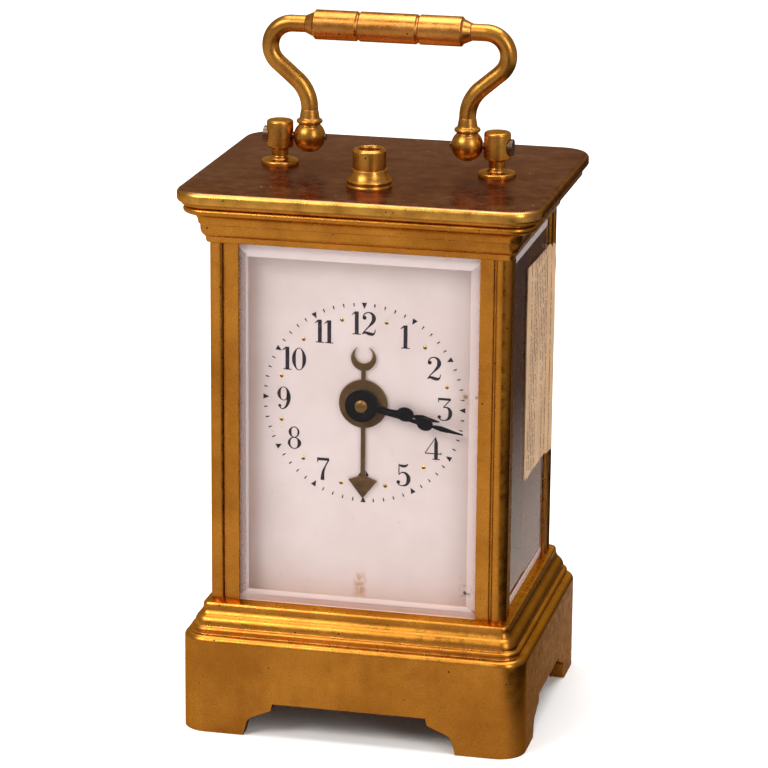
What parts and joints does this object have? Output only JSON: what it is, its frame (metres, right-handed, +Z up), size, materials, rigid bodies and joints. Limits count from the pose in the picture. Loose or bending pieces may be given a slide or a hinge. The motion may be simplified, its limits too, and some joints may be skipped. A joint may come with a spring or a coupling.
{
  "type": "carriage clock",
  "caption": "Brass carriage clock with bevelled glasses, folding handle, top push-piece, enamel dial with three hands, back door and an alarm movement.",
  "frame": {"origin": "centre of the footprint, on the plane of the feet", "axes": "+Z up, the dial faces -Y, +X to the right when seen from the front"},
  "size_m": [0.0828, 0.0708, 0.1626],
  "materials": {
    "case_brass": "aged, satin, patchy patina",
    "dark_brass": "dark brown patina, still glossy",
    "grip_brass": "worn, slightly coppery",
    "movement_brass": "fine grained",
    "gilt": "polished gilt",
    "steel": "polished steel",
    "blued_steel": "blued",
    "clear_glass": "clear, bevelled and polished",
    "enamel": "white vitreous enamel, aged to a pinkish white",
    "label_paper": "aged, torn, faint ruled lines"
  },
  "bodies": {
    "case": {"base": "case_brass", "corner_posts": "case_brass", "cornice": "case_brass", "top_plate": "dark_brass", "case_screws": "steel", "front_glass": "clear_glass", "side_glasses": "clear_glass", "paper_label": "label_paper", "door_hinge_pins": "steel", "handle_posts": "case_brass", "handle_nuts": "case_brass", "pivot_screws": "steel", "button_sleeve": "case_brass", "button_spring": "steel", "dial_plate": "enamel", "front_plate": "movement_brass", "back_plate": "movement_brass", "pillars": "movement_brass", "pillar_screws": "steel", "movement_screws": "steel", "platform_plate": "movement_brass", "platform_screws": "blued_steel", "escape_bridge": "movement_brass", "balance_cock": "movement_brass", "bell": "gilt"},
    "back_door": {"door_frame": "case_brass", "door_glass": "clear_glass", "door_knob": "case_brass"},
    "handle": {"handle_arm_left": "case_brass", "handle_arm_right": "case_brass", "handle_grip": "grip_brass"},
    "button": {"button_plunger": "case_brass"},
    "minute_hand_set": {"minute_hand": "blued_steel", "cannon_pinion": "movement_brass"},
    "hour_hand_set": {"hour_hand": "blued_steel", "hour_wheel": "movement_brass"},
    "alarm_hand_set": {"alarm_hand": "gilt", "alarm_wheel": "movement_brass"},
    "hand_setting": {"minute_wheel": "movement_brass"},
    "alarm_setting": {"alarm_set_arbor": "movement_brass"},
    "going_barrel": {"time_barrel": "movement_brass", "time_mainspring": "blued_steel"},
    "going_winder": {"barrel_arbor": "steel", "ratchet_wheel": "steel"},
    "going_click": {"time_click": "steel"},
    "second_wheel": {"intermediate_wheel": "movement_brass"},
    "centre": {"centre_wheel": "movement_brass"},
    "third": {"third_wheel": "movement_brass"},
    "fourth": {"contrate_wheel": "movement_brass"},
    "escape": {"escape_wheel": "movement_brass"},
    "lever": {"pallet_lever": "steel"},
    "balance": {"balance_wheel": "movement_brass", "hairspring": "blued_steel"},
    "index": {"regulator": "steel"},
    "alarm_drum": {"alarm_barrel": "movement_brass"},
    "alarm_winder": {"alarm_arbor": "steel"},
    "alarm_pawl": {"alarm_click": "steel"},
    "alarm_escape": {"alarm_escape_wheel": "movement_brass"},
    "hammer": {"alarm_hammer": "steel"},
    "stop_lever": {"alarm_lever": "steel"}
  },
  "joints": [
    {"name": "handle_swing", "type": "hinge", "parent": "case", "child": "handle", "pos_m": [0, 0, 0.1334], "axis": [1, 0, 0], "range_deg": [-90, 90]},
    {"name": "button_press", "type": "slide", "parent": "case", "child": "button", "axis": [0, 0, -1], "range_m": [0, 0.0025], "stiffness_N_per_m": 100, "deforming": ["button_spring"]},
    {"name": "door_open", "type": "hinge", "parent": "case", "child": "back_door", "pos_m": [0.0259, 0.0267, 0.07215], "axis": [0, 0, 1], "range_deg": [-95, 0]},
    {"name": "minute_turn", "type": "hinge", "parent": "case", "child": "minute_hand_set", "pos_m": [0, 0, 0.0775], "axis": [0, 1, 0], "continuous": true},
    {"name": "hour_turn", "type": "hinge", "parent": "case", "child": "hour_hand_set", "pos_m": [0, 0, 0.0775], "axis": [0, 1, 0], "continuous": true},
    {"name": "hand_set_turn", "type": "hinge", "parent": "case", "child": "hand_setting", "pos_m": [-0.0041, 0, 0.06622], "axis": [0, 1, 0], "continuous": true},
    {"name": "alarm_hand_turn", "type": "hinge", "parent": "case", "child": "alarm_hand_set", "pos_m": [0, 0, 0.0775], "axis": [0, 1, 0], "continuous": true},
    {"name": "alarm_set_turn", "type": "hinge", "parent": "case", "child": "alarm_setting", "pos_m": [0.00949, 0, 0.08484], "axis": [0, 1, 0], "continuous": true},
    {"name": "fourth_turn", "type": "hinge", "parent": "case", "child": "fourth", "pos_m": [-0.009, 0, 0.09], "axis": [0, 1, 0], "continuous": true},
    {"name": "escape_turn", "type": "hinge", "parent": "case", "child": "escape", "pos_m": [-0.009, 0.0002, 0.1], "axis": [0, 0, 1], "continuous": true},
    {"name": "third_turn", "type": "hinge", "parent": "case", "child": "third", "pos_m": [-0.0116, 0, 0.07905], "axis": [0, 1, 0], "continuous": true},
    {"name": "centre_turn", "type": "hinge", "parent": "case", "child": "centre", "pos_m": [0, 0, 0.0775], "axis": [0, 1, 0], "continuous": true},
    {"name": "second_turn", "type": "hinge", "parent": "case", "child": "second_wheel", "pos_m": [0.0084, 0, 0.06763], "axis": [0, 1, 0], "continuous": true},
    {"name": "barrel_turn", "type": "hinge", "parent": "case", "child": "going_barrel", "pos_m": [0.0074, 0, 0.04926], "axis": [0, 1, 0], "continuous": true},
    {"name": "winder_turn", "type": "hinge", "parent": "case", "child": "going_winder", "pos_m": [0.0074, 0, 0.04926], "axis": [0, 1, 0], "continuous": true},
    {"name": "click_lift", "type": "hinge", "parent": "case", "child": "going_click", "pos_m": [0.00746, 0.0168, 0.05835], "axis": [0, -1, 0], "range_deg": [0, 12], "stiffness_Nm_per_rad": 0.00002},
    {"name": "lever_rock", "type": "hinge", "parent": "case", "child": "lever", "pos_m": [-0.0032, 0.0002, 0.103], "axis": [0, 0, 1], "range_deg": [-5, 5]},
    {"name": "balance_swing", "type": "hinge", "parent": "case", "child": "balance", "pos_m": [0.0085, 0.0002, 0.107], "axis": [0, 0, 1], "range_deg": [-270, 270], "stiffness_Nm_per_rad": 0.000003},
    {"name": "index_move", "type": "hinge", "parent": "case", "child": "index", "pos_m": [0.0085, 0.0002, 0.1117], "axis": [0, 0, 1], "range_deg": [-25, 25]},
    {"name": "alarm_barrel_turn", "type": "hinge", "parent": "case", "child": "alarm_drum", "pos_m": [-0.0165, 0, 0.043], "axis": [0, 1, 0], "continuous": true},
    {"name": "alarm_escape_turn", "type": "hinge", "parent": "case", "child": "alarm_escape", "pos_m": [-0.01891, 0, 0.05141], "axis": [0, 1, 0], "continuous": true},
    {"name": "alarm_winder_turn", "type": "hinge", "parent": "case", "child": "alarm_winder", "pos_m": [-0.0165, 0, 0.043], "axis": [0, 1, 0], "continuous": true},
    {"name": "alarm_click_lift", "type": "hinge", "parent": "case", "child": "alarm_pawl", "pos_m": [-0.01646, 0.0168, 0.05009], "axis": [0, -1, 0], "range_deg": [0, 12], "stiffness_Nm_per_rad": 0.00002},
    {"name": "hammer_swing", "type": "hinge", "parent": "case", "child": "hammer", "pos_m": [-0.0189, 0, 0.0595], "axis": [0, 1, 0], "range_deg": [-5, 4]},
    {"name": "stop_lever_tilt", "type": "hinge", "parent": "case", "child": "stop_lever", "pos_m": [-0.016, 0, 0.096], "axis": [0, 1, 0], "range_deg": [0, 9]}
  ],
  "couplings": [
    {"joint": "hour_turn", "follows": "minute_turn", "ratio": 0.083333},
    {"joint": "hand_set_turn", "follows": "minute_turn", "ratio": -0.33333},
    {"joint": "alarm_set_turn", "follows": "alarm_hand_turn", "ratio": -5},
    {"joint": "escape_turn", "follows": "fourth_turn", "ratio": 9.375},
    {"joint": "third_turn", "follows": "fourth_turn", "ratio": -0.125},
    {"joint": "centre_turn", "follows": "fourth_turn", "ratio": 0.015625},
    {"joint": "second_turn", "follows": "fourth_turn", "ratio": -0.003125},
    {"joint": "barrel_turn", "follows": "fourth_turn", "ratio": 0.00046875},
    {"joint": "alarm_escape_turn", "follows": "alarm_barrel_turn", "ratio": -6},
    {"joint": "stop_lever_tilt", "follows": "button_press", "rad_per_m": 60}
  ]
}
